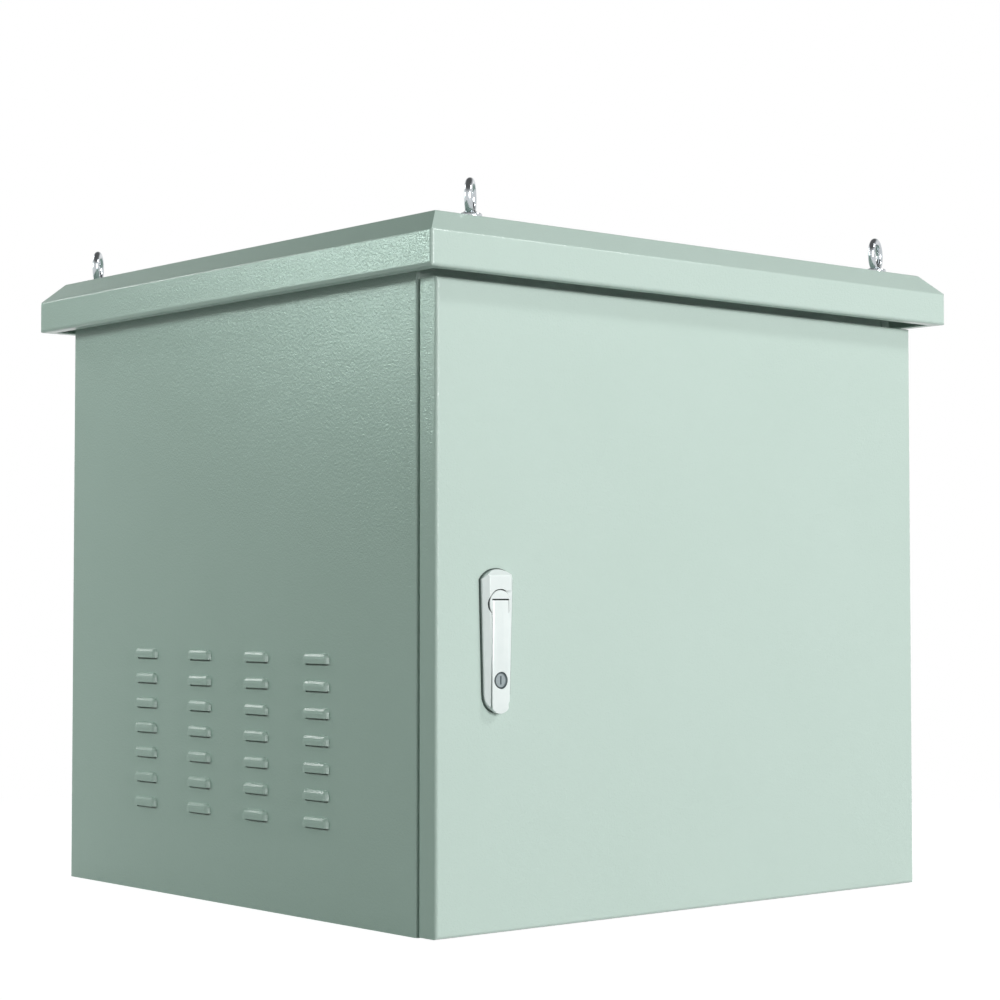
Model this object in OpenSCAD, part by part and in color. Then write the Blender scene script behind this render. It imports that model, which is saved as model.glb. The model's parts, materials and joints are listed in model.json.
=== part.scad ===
// Roadside utility cabinet: a folded sheet steel box with an overhanging canopy roof, four lifting eyes,
// louvred sides, and one front door with a swing handle lock and two concealed hinges.
// Millimetres, +Z up. The door faces -Y and the origin lies on the floor under the middle of the roof.

/* [Body] */
// Width of the body across its side panels
body_w = 600; // [560:1:800]
// Depth of the side panels, from the front fold to the back edge
body_d = 562; // [500:1:750]
// Thickness of the folded sheet
sheet = 1.5; // [1.2:0.1:2]
// Inside radius of the folds
fold_r = 1.5; // [1:0.1:2]
// Height of the flanges of the base pan and the top plate
pan_flange = 25; // [18:0.5:30]
// Depth of the flanges of the back panel
back_flange = 20; // [14:0.5:28]

/* [Roof] */
// Overhang of the roof past each side panel
overhang_side = 25; // [15:0.5:40]
// Overhang of the roof past the door
overhang_front = 24.5; // [18:0.5:40]
// Overhang of the roof past the back panel
overhang_rear = 28; // [15:0.5:40]
// Height of the upright fascia
fascia_h = 30; // [20:0.5:50]
// Height of the sloped edge above the fascia
roof_rise = 19.5; // [14:0.5:30]
// Width of the sloped edge, seen from above
roof_slope_w = 19; // [12:0.5:22]
// Width of the turned-in lip under the fascia
roof_lip = 12; // [6:0.5:16]
// Outer radius of the upright fascia corners
roof_corner_r = 3; // [2.5:0.1:6]

/* [Door] */
// Height of the door
door_h = 544.7; // [480:0.1:700]
// Depth of the door, from its face to the back of its flanges
door_depth = 22; // [20:0.5:26]
// Gap between the door flanges and the body
door_gap = 3.5; // [3:0.1:5]
// Gap between the door and the floor
door_floor_gap = 1; // [0.5:0.1:6]
// Gap between the door and the fascia
door_roof_gap = 3.8; // [2:0.1:8]
// Width of the frame stiles beside the doorway
stile_w = 32; // [30:0.5:40]
// Height of the frame rail under the doorway
sill_h = 45; // [36:0.5:60]
// Distance from the top of the door down to the top of the doorway
head_drop = 35; // [25:0.5:60]
// Width of the foam gasket on the door
gasket_w = 10; // [6:0.5:12]
// Thickness of the foam gasket on the door
gasket_t = 10; // [8:0.5:12]

/* [Louvres] */
// Number of louvre columns on each side
louvre_cols = 4; // [2:1:5]
// Number of louvre rows on each side
louvre_rows = 7; // [3:1:9]
// Length of one louvre
louvre_len = 37; // [28:0.5:60]
// Height of one louvre
louvre_h = 9; // [7:0.5:12]
// Projection of one louvre
louvre_out = 4; // [3:0.1:6]
// Radius of the round corners and shoulders of one louvre
louvre_r = 5; // [4:0.1:6]
// Spacing of the louvre columns
louvre_pitch_y = 93; // [70:0.5:100]
// Spacing of the louvre rows
louvre_pitch_z = 23.7; // [16:0.1:28]
// Height of the lip of the lowest row above the floor
louvre_low = 80.5; // [70:0.5:110]
// Height of the slit under each louvre lip
louvre_slot = 1.5; // [1:0.1:2.5]

/* [Lifting eyes] */
// Outer diameter of the ring
ring_d = 34; // [28:0.5:44]
// Inner diameter of the ring
ring_hole_d = 20; // [16:0.5:26]
// Radius of the threaded shank
eye_r = 4; // [3:0.1:5]
// Radius of the collar
collar_r = 10; // [8:0.1:11]
// Distance of the front eyes from the side panels
eye_front_inset = 42; // [30:0.5:80]
// Distance of the rear eyes from the side panels
eye_rear_inset = 20; // [16:0.5:60]
// Thickness of the bars that carry the eyes
bar_t = 4; // [3:0.1:6]
// Width of the bars that carry the eyes
bar_w = 64; // [58:0.5:80]

/* [Hinges] */
// Height of one hinge
hinge_h = 60; // [50:1:90]
// Height of the middle knuckle
hinge_mid = 30; // [20:1:36]
// Distance of the hinges from the ends of the door
hinge_end = 75; // [50:1:120]
// Radius of the hinge pin
hinge_pin_r = 2.5; // [2:0.1:3]
// Radius of the hinge knuckles
knuckle_r = 4.5; // [4:0.1:5]

/* [Lock] */
// Distance of the lock axis from the free edge of the door
lock_inset = 63; // [58:0.5:90]
// Height of the lock axis above the floor
lock_z = 275; // [200:0.5:350]
// Width of the lock housing at its top
housing_w = 34.5; // [33:0.5:36]
// Width of the lock housing at its bottom
housing_low_w = 27.5; // [26:0.5:29]
// Rise of the housing above the lock axis
housing_rise = 29; // [27:0.5:36]
// Drop of the housing below the lock axis
housing_drop = 90; // [84:0.5:110]
// Thickness of the housing
housing_t = 5.7; // [5.5:0.1:6.5]
// Radius of the turning disc
disc_r = 12; // [11.5:0.1:12.5]
// Width of the lever
lever_w = 17.6; // [16.5:0.1:18]
// Drop of the lever's tip below the lock axis
lever_drop = 91.4; // [82:0.1:110]
// Thickness of the lever
lever_t = 4.4; // [4.2:0.1:4.8]
// Drop of the key cylinder below the lock axis
key_drop = 63.7; // [50:0.1:70]
// Length of the latch cam from the lock axis
cam_len = 45; // [40:0.5:52]

/* [Inside] */
// Distance of the rack rails from the side panels
rail_inset = 47.5; // [40:0.5:60]
// Width of the face of a rack rail
rail_face = 26; // [24:0.5:30]
// Depth of a rack rail
rail_side = 40; // [30:0.5:50]
// Sheet thickness of the rails and braces
rail_t = 2; // [1.5:0.1:2.5]
// Height of one rack unit
unit_h = 44.45; // [40:0.05:50]
// Thickness of the filter mats
filter_t = 10; // [6:0.5:14]
// Width of the gland plate
gland_w = 360; // [300:1:400]
// Depth of the gland plate
gland_d = 140; // [120:1:150]
// Number of cable grommets
grommet_count = 4; // [2:1:5]
// Radius of the hole for a cable grommet
grommet_r = 16; // [10:0.5:18]
// Radius of the anchor holes in the base
anchor_r = 6; // [4:0.1:8]
// Radius of the wall fixing holes in the back
wall_hole_r = 5.5; // [4:0.1:7]

/* [Hidden] */
$fn = 64;
bend_steps = 5;
overrun = 1;

// Clearances
fit_gap = 0.05;
bolt_gap = 0.5;
soft_gap = 0.3;

// Widths, seen from the front
half_w = body_w / 2;
inner_w = half_w - sheet;
roof_w = body_w + 2 * overhang_side;

// Depths, from the front of the roof to its back
roof_d = overhang_front + door_depth + door_gap + body_d + overhang_rear;
door_front = overhang_front - roof_d / 2;
door_in = door_front + sheet;
flange_back = door_front + door_depth;
body_front = flange_back + door_gap;
body_back = body_front + body_d;
body_mid = (body_front + body_back) / 2;
frame_front = body_front + sheet;
frame_back = frame_front + sheet;
back_in = body_back - sheet;

// Heights
door_top = door_floor_gap + door_h;
fascia_low = door_top + door_roof_gap;
fascia_top = fascia_low + fascia_h;
roof_top = fascia_top + roof_rise;
roof_under = roof_top - sheet;
wall_top = roof_under - bar_t;
plate_under = wall_top - sheet;

// Room left between neighbouring flanges
flange_room = 5;
back_fold_low = pan_flange + flange_room;
back_fold_high = wall_top - pan_flange - flange_room;

// Doorway and the lip around it that presses into the gasket
gasket_gap = 0.4;
frame_out = inner_w - fold_r;
lip_x = half_w - stile_w;
lip_in = lip_x - sheet;
lip_low = sill_h;
lip_high = door_top - head_drop;
lip_tip = door_in + gasket_t + gasket_gap;

// Fixing holes of the back and base
wall_hole_inset = 70;
wall_hole_low = 60;
wall_hole_drop = 53.5;
anchor_inset = 65;
anchor_half_d = 220;

// Lifting eyes and the bars under the roof
eye_front_set = 7.5;
eye_rear_set = 10;
eye_front_y = door_front + eye_front_set;
eye_rear_y = body_back - eye_rear_set;
bar_edge = 9;
bar_end_gap = 1;
bar_front_y = eye_front_y - bar_edge;
bar_rear_y = eye_rear_y + bar_edge - bar_w;
bar_bolt_r = 4;
bar_bolt_edge = 12;
bar_bolt_share = 0.5;
eye_nut_across = 13;
eye_nut_h = 6.5;
eye_thread_out = 2;
collar_h = 3;
neck_r = 6;
neck_h = 3;
eye_turns = [43, 25, 50, 40];

// Hinges
leaf_t = 2.5;
door_leaf_t = 1.5;
leaf_room = 1;
leg_room = 0.2;
leg_nose = 2.5;
knuckle_room = 1.5;
knuckle_face_gap = 0.5;
knuckle_end_gap = 0.3;
hinge_web = 3;
door_web = 6;
door_leaf_w = 22.5;
pin_head_r = 3.6;
pin_head_h = 2;
pin_tail = 1.5;
notch_room = 2;
notch_gap = 0.5;
hinge_x = inner_w - knuckle_room - knuckle_r;
hinge_y = door_in + door_leaf_t + knuckle_face_gap + knuckle_r;
hinge_low_z = door_floor_gap + hinge_end;
hinge_high_z = door_top - hinge_end;
leg_x = hinge_x - knuckle_r - leg_room;
panel_flange = half_w - leg_x - leg_room;
leaf_in = lip_x + fold_r + leaf_room;

// Lock, in its own frame: X right, Y up, Z outward from the face of the door
lock_x = lock_inset - half_w;
lock_gasket_t = 1.5;
lock_rim = 1;
housing_end_r = 21;
housing_low_r = 14;
housing_edge = 2.2;
housing_slope = 5.5;
housing_side_h = 1.2;
housing_floor = 1;
channel_floor = 2.2;
housing_side = lock_gasket_t + housing_side_h;
housing_top = lock_gasket_t + housing_t;
housing_taper = atan((housing_w - housing_low_w) / 2 / (housing_rise + housing_drop));
channel_z = lock_gasket_t + channel_floor;
disc_seat = lock_gasket_t + housing_floor;
disc_gap = 0.6;
disc_lift = 0.2;
disc_edge = 0.8;
boss_r = 10;
boss_len = 15.5;
stem_r = 6;
stem_gap = 0.1;
stud_r = 2.5;
stud_drop = 72;
stud_len = 8.5;
lock_nut_across = 27;
lock_nut_h = 6;
stud_nut_across = 8;
stud_nut_h = 4;
lever_gap = 0.3;
lever_low_z = channel_z + lever_gap;
lever_top_z = lever_low_z + lever_t;
lever_half = lever_w / 2;
lever_crown_r = 30;
lever_draft = 1.5;
lever_tip_r = 11;
lever_tip_t = 3.2;
lever_taper = 12;
lever_knuckle_r = 1.5;
channel_gap = 1;
channel_in = lever_half + channel_gap;
turn_room = 2.2;
turn_clear = lever_half + turn_room;
pivot_rise = 1.2;
pivot_lift = 1.6;
pivot_z = lever_low_z + pivot_lift;
heel_r = lever_top_z - pivot_z;
heel_reach = 1.8;
heel_end = pivot_rise + heel_reach;
slot_side = 0.4;
slot_half = lever_half + slot_side;
slot_end = pivot_rise + heel_r + lever_gap;
handle_pin_r = 0.9;
handle_pin_set = 1.2;
handle_pin_half = sqrt(disc_r * disc_r - pivot_rise * pivot_rise) - handle_pin_set;
key_bore_r = 7.2;
key_ring_r = 7.15;
key_ring_wall = 1.5;
key_ring_h = 3.6;
key_ring_lift = 0.1;
key_plug_r = key_ring_r - key_ring_wall - fit_gap;
key_plug_sink = 0.5;
key_slot_w = 1.6;
key_slot_len = 7;
key_slot_deep = 1.2;
cam_t = 3;
cam_room = 1;
cam_w = 16;
cam_hub_r = 10;
cam_square = 8;
cam_square_short = 0.3;
cam_screw_r = 2.5;
cam_screw_head_r = 7;
cam_screw_head_h = 3;
cam_screw_len = 12;
cam_top_z = door_front - frame_back - cam_room;
cam_low_z = cam_top_z - cam_t;

// Filters behind the louvres
filter_margin = 12;
filter_drop = 6.5;
filter_rise = 8.3;
filter_flange = 14;
filter_lip = 12;
filter_bar = 10;
filter_windows = 3;
filter_half = (louvre_cols - 1) * louvre_pitch_y / 2 + louvre_len / 2 + filter_margin;
filter_low = louvre_low - filter_drop;
filter_high = louvre_low + (louvre_rows - 1) * louvre_pitch_z + louvre_h + filter_rise;
filter_wall = filter_half + soft_gap + sheet;
filter_face = filter_t + 2 * soft_gap + sheet;
filter_stud_r = 2.5;
filter_stud_len = 9;
filter_nut_across = 8;
filter_nut_h = 4;
filter_stud_shares = [0.2, 0.8];

// Rack rails and their braces
rail_out = inner_w - rail_inset;
rail_front_set = 65;
rail_rear_set = 97;
rail_end = 9.75;
rail_room = 2;
rail_low = filter_low - filter_flange - rail_room;
brace_leg = 26;
brace_front_set = 30;
rack_space = wall_top - pan_flange - flange_room - brace_leg - rail_low - 2 * rail_end;
rack_units = floor(rack_space / unit_h);
rail_high = rail_low + rack_units * unit_h + 2 * rail_end;
rail_front_y = body_front + rail_front_set;
rail_rear_y = body_back - rail_rear_set;
brace_front_y = body_front + brace_front_set;
brace_rear_y = body_back - back_flange - flange_room;
rack_hole = 9.5;
rack_hole_inset = 18.45;
rack_hole_shares = [1 / 7, 1 / 2, 6 / 7];
rail_bolt_r = 3;
rail_bolt_across = 10;
rail_bolt_head_h = 4;
rail_nut_h = 5;
rail_bolt_out = 1.5;

// Gland plate, grommets and earth stud
gland_set = 92;
gland_lap = 20;
gland_t = 2;
gland_y = body_back - gland_set;
gland_screw_r = 2.5;
gland_screw_head_r = 4.5;
gland_screw_head_h = 3;
gland_screw_edge = 10;
gland_screw_lift = 0.2;
grommet_lap = 4;
grommet_flange_t = 1.3;
grommet_top_t = 2.5;
grommet_dome_h = 9;
grommet_dome_share = 0.55;
earth_share = 0.5;
earth_set = 70;
earth_r = 4;
earth_len = 26;
earth_pad_r = 9;
earth_pad_t = 2;
earth_nut_across = 13;
earth_nut_h = 6.5;

// Shoulder of a louvre hood, from its flat face to where it meets the panel: distance and projection
hood_shares = [[0, 1], [0.45, 0.92], [0.8, 0.6], [1, 0]];
hood_step = 30;

// Colours
coat = "#c9d9d0";
zinc = "#b9bec4";
galvanised = "#aab0b4";
white_satin = "#eef1f2";
black_rubber = "#2a2c2e";
grey_foam = "#4a4d50";
filter_white = "#dfe2e0";

// Folded sheet: a section is an open path of outer corners, with the metal on its left
function unit(v) = v / norm(v);
function left_of(v) = [-v[1], v[0]];
function turn(a, b) = a[0] * b[1] - a[1] * b[0];
function spun(v, ang) = [v[0] * cos(ang) - v[1] * sin(ang), v[0] * sin(ang) + v[1] * cos(ang)];
function leg(p, i) = unit(p[i + 1] - p[i]);
function reversed(p) = [for (i = [len(p) - 1:-1:0]) p[i]];

// The path moved sideways to its left by a distance
function shifted(p, d) = [
    for (i = [0:len(p) - 1])
        let (a = leg(p, max(i - 1, 0)), b = leg(p, min(i, len(p) - 2)))
            p[i] + d * (left_of(a) + left_of(b)) / (1 + a * b)
];

// The arc that replaces one corner of a path
function corner(q, a, b, r) =
    let (
        phi = atan2(turn(a, b), a * b),
        start = q - a * r * tan(abs(phi) / 2),
        centre = start + left_of(a) * sign(phi) * r
    )
    [for (k = [0:bend_steps]) centre + spun(start - centre, phi * k / bend_steps)];

// The path with an arc at each inner corner, of one radius for left turns and one for right turns
function rounded(p, r_left, r_right) = concat(
    [p[0]],
    [
        for (i = [1:len(p) - 2])
            let (a = leg(p, i - 1), b = leg(p, i))
                each corner(p[i], a, b, turn(a, b) > 0 ? r_left : r_right)
    ],
    [p[len(p) - 1]]
);

function outer_line(p) = rounded(p, fold_r + sheet, fold_r);
function inner_line(p) = rounded(shifted(p, sheet), fold_r, fold_r + sheet);
function folded(p) = concat(outer_line(p), reversed(inner_line(p)));

// Extrusions along each axis, and a block between two corners
module along_x(x0, x1) translate([x0, 0, 0]) rotate([90, 0, 90]) linear_extrude(x1 - x0) children();
module along_y(y0, y1) translate([0, y1, 0]) rotate([90, 0, 0]) linear_extrude(y1 - y0) children();
module along_z(z0, z1) translate([0, 0, z0]) linear_extrude(z1 - z0) children();
module block(low, high) translate(low) cube(high - low);

// Round and hexagonal bars along Z, and a nut
module rod(r, z0, z1) translate([0, 0, z0]) cylinder(r = r, h = z1 - z0);
module hex(across, z0, z1) translate([0, 0, z0]) cylinder(d = across / cos(30), h = z1 - z0, $fn = 6);
module nut(across, bore_r, z0, z1) {
    difference() {
        hex(across, z0, z1);
        rod(bore_r, z0 - overrun, z1 + overrun);
    }
}

module both_sides() {
    children();
    mirror([1, 0, 0]) children();
}

// One louvre: a flat hood with round shoulders at its back and both ends. Local X along it, Y up, Z outward
function hood_fall(r, out, root) = concat(
    [[-louvre_len, -root], [-louvre_len, out]],
    [for (s = hood_shares) [r * s[0], out * s[1]]],
    [[r, -root]]
);

// The hood keeps what lies under every fall, turned in steps from one end over the back to the other
module hood(r, out, root) {
    straight = louvre_len / 2 - louvre_r;
    intersection() {
        block([-louvre_len, 0, -root], [louvre_len, louvre_len, out]);
        intersection_for (angle = [0:hood_step:180])
            translate([straight * sign(90 - angle), louvre_h - louvre_r, 0]) rotate([0, 0, angle])
                along_y(-louvre_len, louvre_len) polygon(hood_fall(r, out, root));
    }
}

// The hollow of a hood, open into the body, with the slit under its lip
module hood_hollow() {
    hood(louvre_r - sheet, louvre_out - sheet, sheet + overrun);
    slit_half = louvre_len / 2 - sheet;
    block([-slit_half, -louvre_slot, -sheet - overrun], [slit_half, 0, overrun]);
}

// Places of the louvres on the left panel
module at_louvres() {
    for (col = [0:louvre_cols - 1], row = [0:louvre_rows - 1]) {
        y = body_mid + (col - (louvre_cols - 1) / 2) * louvre_pitch_y;
        translate([-half_w, y, louvre_low + row * louvre_pitch_z]) rotate([90, 0, -90]) children();
    }
}

// Places of the welded studs that hold a filter frame, with local Z pointing into the body
module at_filter_studs() {
    stud_y = (filter_wall + filter_half + filter_flange) / 2;
    for (side = [-1, 1], share = filter_stud_shares)
        translate([-inner_w, body_mid + side * stud_y, filter_low + share * (filter_high - filter_low)])
            rotate([0, 90, 0]) children();
}

side_path = [[-half_w, body_back], [-half_w, body_front], [panel_flange - half_w, body_front]];

module left_side_panel() {
    color(coat) difference() {
        union() {
            along_z(0, wall_top) polygon(folded(side_path));
            at_louvres() hood(louvre_r, louvre_out, sheet / 2);
            at_filter_studs() rod(filter_stud_r, -sheet / 2, filter_stud_len);
        }
        at_louvres() hood_hollow();
    }
}

module right_side_panel() mirror([1, 0, 0]) left_side_panel();

back_path = [
    [inner_w, body_back - back_flange],
    [inner_w, body_back],
    [-inner_w, body_back],
    [-inner_w, body_back - back_flange]
];

module back_panel() {
    color(coat) difference() {
        union() {
            along_z(back_fold_low, back_fold_high) polygon(folded(back_path));
            block([-inner_w, back_in, 0], [inner_w, body_back, back_fold_low]);
            block([-inner_w, back_in, back_fold_high], [inner_w, body_back, wall_top]);
        }
        for (side = [-1, 1], z = [wall_hole_low, wall_top - wall_hole_drop])
            translate([side * (half_w - wall_hole_inset), body_back, z])
                rotate([90, 0, 0]) rod(wall_hole_r, -overrun, sheet + overrun);
    }
}

base_path = [[-inner_w, pan_flange], [-inner_w, 0], [inner_w, 0], [inner_w, pan_flange]];

module at_gland_screws() {
    for (x = [-1, 1] * (gland_w / 2 - gland_screw_edge), y = [-1, 1] * (gland_d / 2 - gland_screw_edge))
        translate([x, gland_y + y, 0]) children();
}

module base_pan() {
    gland_half = [gland_w / 2 - gland_lap, gland_d / 2 - gland_lap];
    color(coat) difference() {
        along_y(frame_back, back_in) polygon(folded(base_path));
        for (x = [-1, 1] * (half_w - anchor_inset), y = [-1, 1] * anchor_half_d)
            translate([x, body_mid + y, 0]) rod(anchor_r, -overrun, sheet + overrun);
        block(
            [-gland_half[0], gland_y - gland_half[1], -overrun],
            [gland_half[0], gland_y + gland_half[1], sheet + overrun]
        );
        at_gland_screws() rod(gland_screw_r + fit_gap, -overrun, sheet + overrun);
    }
}

top_path = [
    [inner_w, wall_top - pan_flange],
    [inner_w, wall_top],
    [-inner_w, wall_top],
    [-inner_w, wall_top - pan_flange]
];

module at_rear_eyes() {
    for (side = [-1, 1]) translate([side * (half_w - eye_rear_inset), eye_rear_y, 0]) children();
}

module at_front_eyes() {
    for (side = [-1, 1]) translate([side * (half_w - eye_front_inset), eye_front_y, 0]) children();
}

module at_bar_bolts(y) {
    for (side = [-1, 1]) translate([side * half_w * bar_bolt_share, y, 0]) children();
}

front_bolt_y = bar_front_y + bar_w - bar_bolt_edge;
rear_bolt_y = bar_rear_y + bar_bolt_edge;

module top_plate() {
    color(coat) difference() {
        along_y(frame_back, back_in) polygon(folded(top_path));
        at_rear_eyes() rod(eye_r + bolt_gap, plate_under - overrun, wall_top + overrun);
        for (y = [front_bolt_y, rear_bolt_y])
            at_bar_bolts(y) rod(bar_bolt_r + bolt_gap, plate_under - overrun, wall_top + overrun);
    }
}

// Door frame: each member is a plate behind the panel flange with a lip turned forward round the doorway
stile_path = [[-frame_out, frame_front], [-lip_x, frame_front], [-lip_x, lip_tip]];
sill_path = [[lip_tip, lip_low], [frame_front, lip_low], [frame_front, 0]];
head_path = [[frame_front, wall_top], [frame_front, lip_high], [lip_tip, lip_high]];

module frame_left_stile() color(coat) along_z(lip_low, lip_high) polygon(folded(stile_path));

module frame_right_stile() mirror([1, 0, 0]) frame_left_stile();

module frame_top_rail() {
    color(coat) {
        along_x(-lip_in, lip_in) polygon(folded(head_path));
        both_sides() block([lip_in, frame_front, lip_high], [frame_out, frame_back, wall_top]);
    }
}

module frame_bottom_rail() {
    color(coat) {
        along_x(-lip_in, lip_in) polygon(folded(sill_path));
        both_sides() block([lip_in, frame_front, 0], [frame_out, frame_back, lip_low]);
    }
}

// Section of the roof across one direction, from lip to lip over the top
function roof_path(half) = [
    [half - roof_lip, fascia_low],
    [half, fascia_low],
    [half, fascia_top],
    [half - roof_slope_w, roof_top],
    [roof_slope_w - half, roof_top],
    [-half, fascia_top],
    [-half, fascia_low],
    [roof_lip - half, fascia_low]
];

// A rectangle centred on the origin with round corners
module round_rect(half_x, half_y, r) {
    square([2 * half_x, 2 * (half_y - r)], center = true);
    square([2 * (half_x - r), 2 * half_y], center = true);
    for (x = [-1, 1] * (half_x - r), y = [-1, 1] * (half_y - r)) translate([x, y]) circle(r);
}

module roof_canopy() {
    hx = roof_w / 2;
    hy = roof_d / 2;
    color(coat) difference() {
        intersection() {
            along_y(-hy, hy) polygon(outer_line(roof_path(hx)));
            along_x(-hx, hx) polygon(outer_line(roof_path(hy)));
            along_z(fascia_low, roof_top) round_rect(hx, hy, roof_corner_r);
        }
        intersection() {
            along_y(-hy, hy) polygon(inner_line(roof_path(hx)));
            along_x(-hx, hx) polygon(inner_line(roof_path(hy)));
            along_z(fascia_low, roof_top) round_rect(hx - sheet, hy - sheet, roof_corner_r - sheet);
        }
        block(
            [roof_lip - hx, roof_lip - hy, fascia_low - overrun],
            [hx - roof_lip, hy - roof_lip, fascia_top]
        );
        at_front_eyes() rod(eye_r + bolt_gap, roof_under - overrun, roof_top + overrun);
        at_rear_eyes() rod(eye_r + bolt_gap, roof_under - overrun, roof_top + overrun);
    }
}

module lifting_bar(y, bolt_y) {
    half = half_w - bar_end_gap;
    color(zinc) difference() {
        block([-half, y, wall_top], [half, y + bar_w, roof_under]);
        at_bar_bolts(bolt_y) rod(bar_bolt_r + fit_gap, wall_top - overrun, roof_under + overrun);
        children();
    }
}

module front_lifting_bar() {
    lifting_bar(bar_front_y, front_bolt_y)
        at_front_eyes() rod(eye_r + fit_gap, wall_top - overrun, roof_under + overrun);
}

module rear_lifting_bar() {
    lifting_bar(bar_rear_y, rear_bolt_y)
        at_rear_eyes() rod(eye_r + fit_gap, wall_top - overrun, roof_under + overrun);
}

module lifting_bar_bolts() {
    color(zinc) for (y = [front_bolt_y, rear_bolt_y]) at_bar_bolts(y) {
        hex(eye_nut_across, plate_under - eye_nut_h, plate_under);
        rod(bar_bolt_r, plate_under - eye_nut_h, roof_under - fit_gap);
    }
}

// A forged eye bolt standing on the roof, with its ring turned by an angle about Z
module eye_bolt(x, y, turned) {
    shank = 2 * sheet + bar_t + eye_nut_h + eye_thread_out;
    ring_r = (ring_d + ring_hole_d) / 4;
    wire_r = (ring_d - ring_hole_d) / 4;
    color(zinc) translate([x, y, roof_top]) rotate([0, 0, turned]) {
        translate([0, 0, ring_d / 2]) rotate([90, 0, 0])
            rotate_extrude() translate([ring_r, 0]) circle(wire_r);
        rotate_extrude() polygon([
            [0, 0], [collar_r, 0], [collar_r, collar_h], [neck_r, collar_h + neck_h], [0, collar_h + neck_h]
        ]);
        rod(eye_r, -shank, collar_h);
    }
}

module front_left_lifting_eye() eye_bolt(eye_front_inset - half_w, eye_front_y, eye_turns[0]);

module front_right_lifting_eye() eye_bolt(half_w - eye_front_inset, eye_front_y, eye_turns[1]);

module rear_left_lifting_eye() eye_bolt(eye_rear_inset - half_w, eye_rear_y, eye_turns[2]);

module rear_right_lifting_eye() eye_bolt(half_w - eye_rear_inset, eye_rear_y, eye_turns[3]);

module lifting_eye_nuts() {
    color(zinc) {
        at_front_eyes() nut(eye_nut_across, eye_r + fit_gap, wall_top - eye_nut_h, wall_top);
        at_rear_eyes() nut(eye_nut_across, eye_r + fit_gap, plate_under - eye_nut_h, plate_under);
    }
}

// Frame half of a hinge: a plate on the stile, a leg forward and the middle knuckle
module hinge_frame_leaf(z) {
    tall = hinge_h / 2;
    mid = hinge_mid / 2;
    color(zinc) difference() {
        union() {
            block([leaf_in, frame_front - leaf_t, z - tall], [leg_x, frame_front, z + tall]);
            block([leg_x - leaf_t, hinge_y - leg_nose, z - mid], [leg_x, frame_front, z + mid]);
            block(
                [leg_x - leaf_t, hinge_y - hinge_web / 2, z - mid],
                [hinge_x, hinge_y + hinge_web / 2, z + mid]
            );
            translate([hinge_x, hinge_y, 0]) rod(knuckle_r, z - mid, z + mid);
        }
        translate([hinge_x, hinge_y, 0]) rod(hinge_pin_r + fit_gap, z - tall, z + tall);
    }
}

module upper_hinge_frame_leaf() hinge_frame_leaf(hinge_high_z);

module lower_hinge_frame_leaf() hinge_frame_leaf(hinge_low_z);

// Door half of a hinge: a plate behind the door sheet and the two outer knuckles
module hinge_door_leaf(z) {
    tall = hinge_h / 2;
    mid = hinge_mid / 2 + knuckle_end_gap;
    color(zinc) difference() {
        union() {
            block([frame_out - door_leaf_w, door_in, z - tall], [frame_out, door_in + door_leaf_t, z + tall]);
            for (span = [[z - tall, z - mid], [z + mid, z + tall]]) {
                block([hinge_x - door_web / 2, door_in, span[0]], [hinge_x + door_web / 2, hinge_y, span[1]]);
                translate([hinge_x, hinge_y, 0]) rod(knuckle_r, span[0], span[1]);
            }
        }
        translate([hinge_x, hinge_y, 0])
            rod(hinge_pin_r + fit_gap, z - tall - overrun, z + tall + overrun);
    }
}

module upper_hinge_door_leaf() hinge_door_leaf(hinge_high_z);

module lower_hinge_door_leaf() hinge_door_leaf(hinge_low_z);

module hinge_pin(z) {
    color(zinc) translate([hinge_x, hinge_y, z]) {
        rod(hinge_pin_r, -hinge_h / 2 - pin_tail, hinge_h / 2);
        rod(pin_head_r, hinge_h / 2, hinge_h / 2 + pin_head_h);
    }
}

module upper_hinge_pin() hinge_pin(hinge_high_z);

module lower_hinge_pin() hinge_pin(hinge_low_z);

// Places on the face of the door: the lock axis and the lower stud of the housing
module at_lock() translate([lock_x, door_front, lock_z]) rotate([90, 0, 0]) children();

// Outlines of the door pan: its plan and its side section, opened at the back by an overrun
function door_plan(back) = [[-half_w, back], [-half_w, door_front], [half_w, door_front], [half_w, back]];
function door_section(back) = [
    [back, door_top],
    [door_front, door_top],
    [door_front, door_floor_gap],
    [back, door_floor_gap]
];

module door_panel() {
    open_back = flange_back + overrun;
    notch_half = hinge_mid / 2 + notch_room;
    color(coat) difference() {
        intersection() {
            along_z(door_floor_gap, door_top) polygon(outer_line(door_plan(flange_back)));
            along_x(-half_w, half_w) polygon(outer_line(door_section(flange_back)));
        }
        intersection() {
            along_z(door_floor_gap, door_top) polygon(inner_line(door_plan(open_back)));
            along_x(-half_w, half_w) polygon(inner_line(door_section(open_back)));
        }
        for (z = [hinge_low_z, hinge_high_z])
            block(
                [inner_w - overrun, hinge_y - notch_gap, z - notch_half],
                [half_w + overrun, open_back, z + notch_half]
            );
        at_lock() {
            rod(boss_r + bolt_gap, -sheet - overrun, overrun);
            translate([0, -stud_drop, 0]) rod(stud_r + bolt_gap, -sheet - overrun, overrun);
        }
    }
}

module door_gasket() {
    mid_x = lip_x - sheet / 2;
    mid_low = lip_low + sheet / 2;
    mid_high = lip_high - sheet / 2;
    edge = gasket_w / 2;
    color(grey_foam) difference() {
        block([-mid_x - edge, door_in, mid_low - edge], [mid_x + edge, door_in + gasket_t, mid_high + edge]);
        block(
            [edge - mid_x, door_in - overrun, mid_low + edge],
            [mid_x - edge, door_in + gasket_t + overrun, mid_high - edge]
        );
    }
}

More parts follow.
